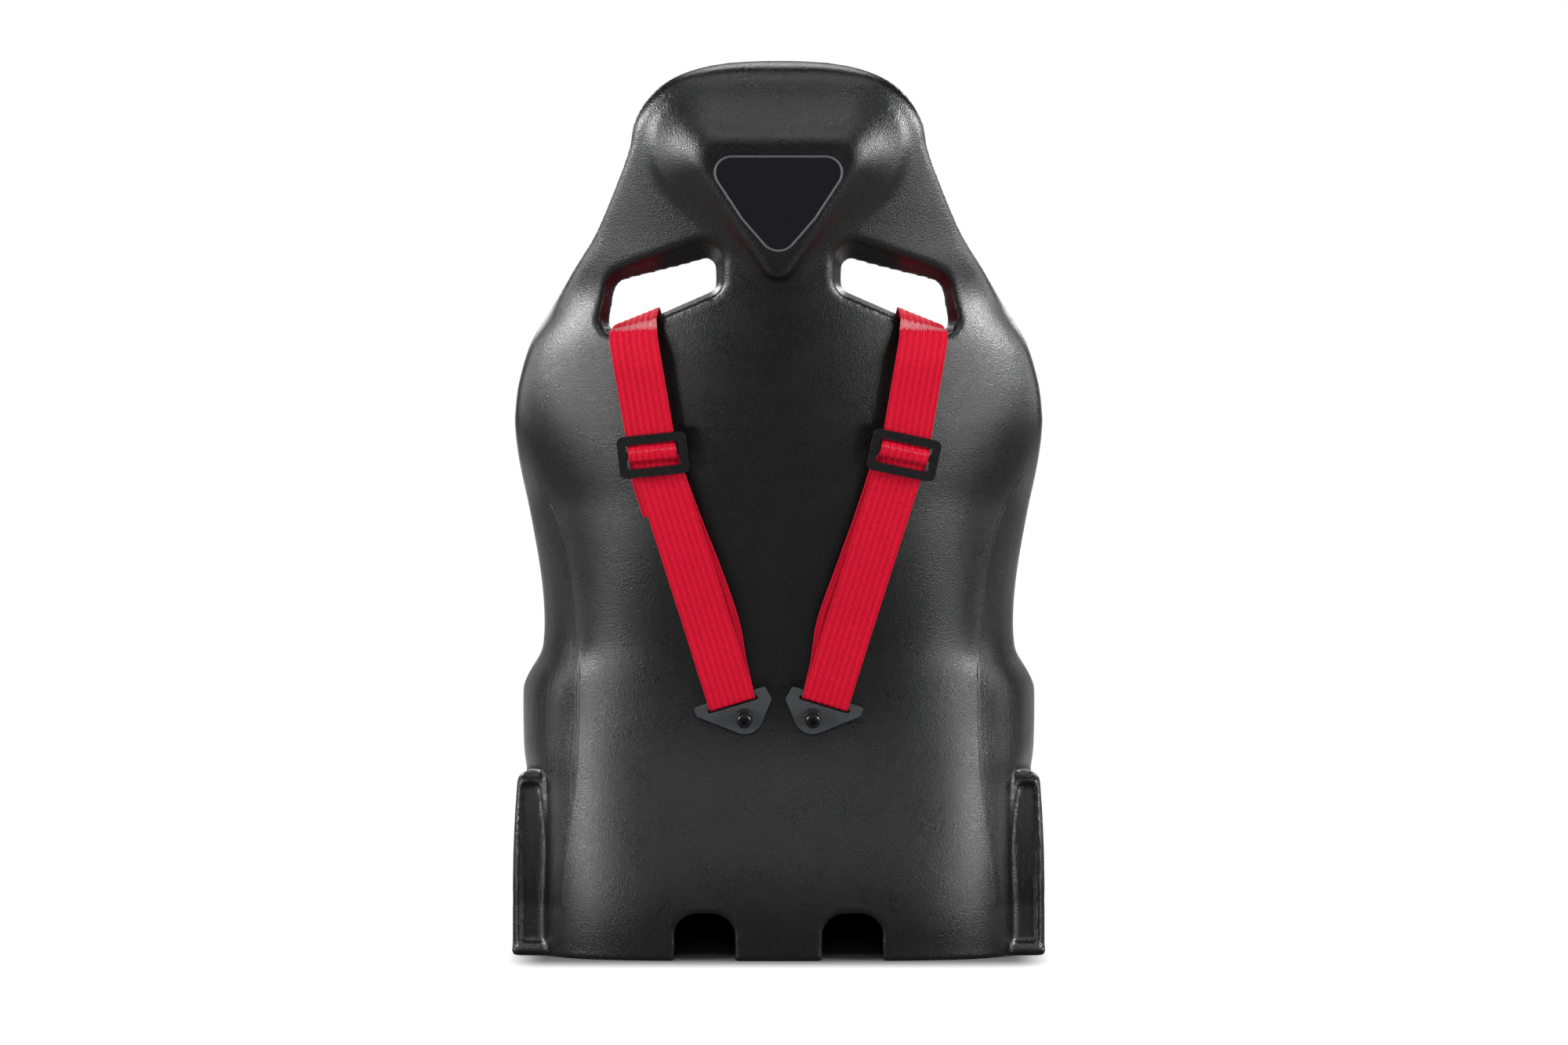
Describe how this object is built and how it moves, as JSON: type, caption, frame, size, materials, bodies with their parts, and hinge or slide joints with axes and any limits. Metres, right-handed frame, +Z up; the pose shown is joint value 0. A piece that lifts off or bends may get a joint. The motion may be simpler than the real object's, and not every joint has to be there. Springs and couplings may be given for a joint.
{
  "type": "racing seat",
  "caption": "Moulded bucket racing seat with shoulder wings, harness slots, side pods, removable pads and a red four-point harness with sliding adjusters and a cam-lock buckle.",
  "frame": {"origin": "centre of the base bolt pattern, on the surface that the seat stands on", "axes": "+X to the sitter's right, +Y the way the seat faces, +Z up"},
  "size_m": [0.57, 0.696, 0.932],
  "materials": {
    "shell": "black moulded polyethylene with a fine leather grain",
    "badge": "satin black with a bright raised edge",
    "pad_cloth": "black woven cover over foam",
    "hook": "hook tape",
    "insert_brass": "knurled threaded inserts",
    "black_steel": "black powder coat, edges rubbed bright",
    "bolt_steel": "black oxide socket bolts",
    "webbing": "red polyester webbing with lengthwise ribs",
    "plated_steel": "zinc plated",
    "buckle_black": "black housing",
    "knob_red": "red release knob"
  },
  "bodies": {
    "seat": {"seat_shell": "shell", "badge_plate": "badge", "head_pad": "pad_cloth", "back_pad": "pad_cloth", "seat_pad": "pad_cloth", "hook_strips": "hook", "side_inserts": "insert_brass", "base_inserts": "insert_brass", "anchor_inserts": "insert_brass", "lap_inserts": "insert_brass", "anchor_spacers": "black_steel", "anchor_collars": "black_steel", "anchor_bolts": "bolt_steel", "shoulder_webbing_left": "webbing", "shoulder_webbing_right": "webbing", "lap_bushes": "black_steel", "lap_bolts": "bolt_steel", "lap_webbing_left": "webbing", "lap_webbing_right": "webbing", "lap_tongue_left": "plated_steel", "buckle_housing": "buckle_black", "buckle_cover": "buckle_black", "buckle_post": "plated_steel", "knob_screw": "plated_steel"},
    "anchor_left": {"anchor_plate_left": "black_steel"},
    "anchor_right": {"anchor_plate_right": "black_steel"},
    "slider_left": {"adjuster_left": "black_steel", "adjuster_fold_left": "webbing"},
    "slider_right": {"adjuster_right": "black_steel", "adjuster_fold_right": "webbing"},
    "tongue_left": {"shoulder_tongue_left": "plated_steel"},
    "tongue_right": {"shoulder_tongue_right": "plated_steel"},
    "tongue_lap": {"lap_tongue_right": "plated_steel"},
    "lap_anchor_left": {"lap_plate_left": "plated_steel"},
    "lap_anchor_right": {"lap_plate_right": "plated_steel"},
    "knob": {"release_knob": "knob_red"}
  },
  "joints": [
    {"name": "anchor_swivel_left", "type": "hinge", "parent": "seat", "child": "anchor_left", "pos_m": [-0.036, -0.21219, 0.262], "axis": [0, -0.9737, -0.2278], "range_deg": [-12, 12], "deforming": ["shoulder_webbing_left"]},
    {"name": "adjuster_slide_left", "type": "slide", "parent": "seat", "child": "slider_left", "axis": [-0.225, -0.222, 0.9487], "range_m": [-0.03, 0.03]},
    {"name": "anchor_swivel_right", "type": "hinge", "parent": "seat", "child": "anchor_right", "pos_m": [0.036, -0.21219, 0.262], "axis": [0, -0.9737, -0.2278], "range_deg": [-12, 12], "deforming": ["shoulder_webbing_right"]},
    {"name": "adjuster_slide_right", "type": "slide", "parent": "seat", "child": "slider_right", "axis": [0.225, -0.222, 0.9487], "range_m": [-0.03, 0.03]},
    {"name": "shoulder_tongue_left_slide", "type": "slide", "parent": "seat", "child": "tongue_left", "axis": [-0.5592, -0.8008, 0.2146], "range_m": [0, 0.025], "deforming": ["shoulder_webbing_left"]},
    {"name": "shoulder_tongue_right_slide", "type": "slide", "parent": "seat", "child": "tongue_right", "axis": [0.5592, -0.8008, 0.2146], "range_m": [0, 0.025], "deforming": ["shoulder_webbing_right"]},
    {"name": "lap_tongue_slide", "type": "slide", "parent": "seat", "child": "tongue_lap", "axis": [0.9703, 0.2337, -0.0626], "range_m": [0, 0.025], "deforming": ["lap_webbing_right"]},
    {"name": "lap_anchor_swivel_left", "type": "hinge", "parent": "seat", "child": "lap_anchor_left", "pos_m": [-0.19134, -0.02, 0.18487], "axis": [1, 0, 0], "range_deg": [-15, 15], "deforming": ["lap_webbing_left"]},
    {"name": "lap_anchor_swivel_right", "type": "hinge", "parent": "seat", "child": "lap_anchor_right", "pos_m": [0.19134, -0.02, 0.18487], "axis": [1, 0, 0], "range_deg": [-15, 15], "deforming": ["lap_webbing_right"]},
    {"name": "release_knob_turn", "type": "hinge", "parent": "seat", "child": "knob", "pos_m": [0, -0.03, 0.17637], "axis": [0, 0.2588, 0.9659], "range_deg": [-40, 40], "stiffness_Nm_per_rad": 0.08}
  ]
}
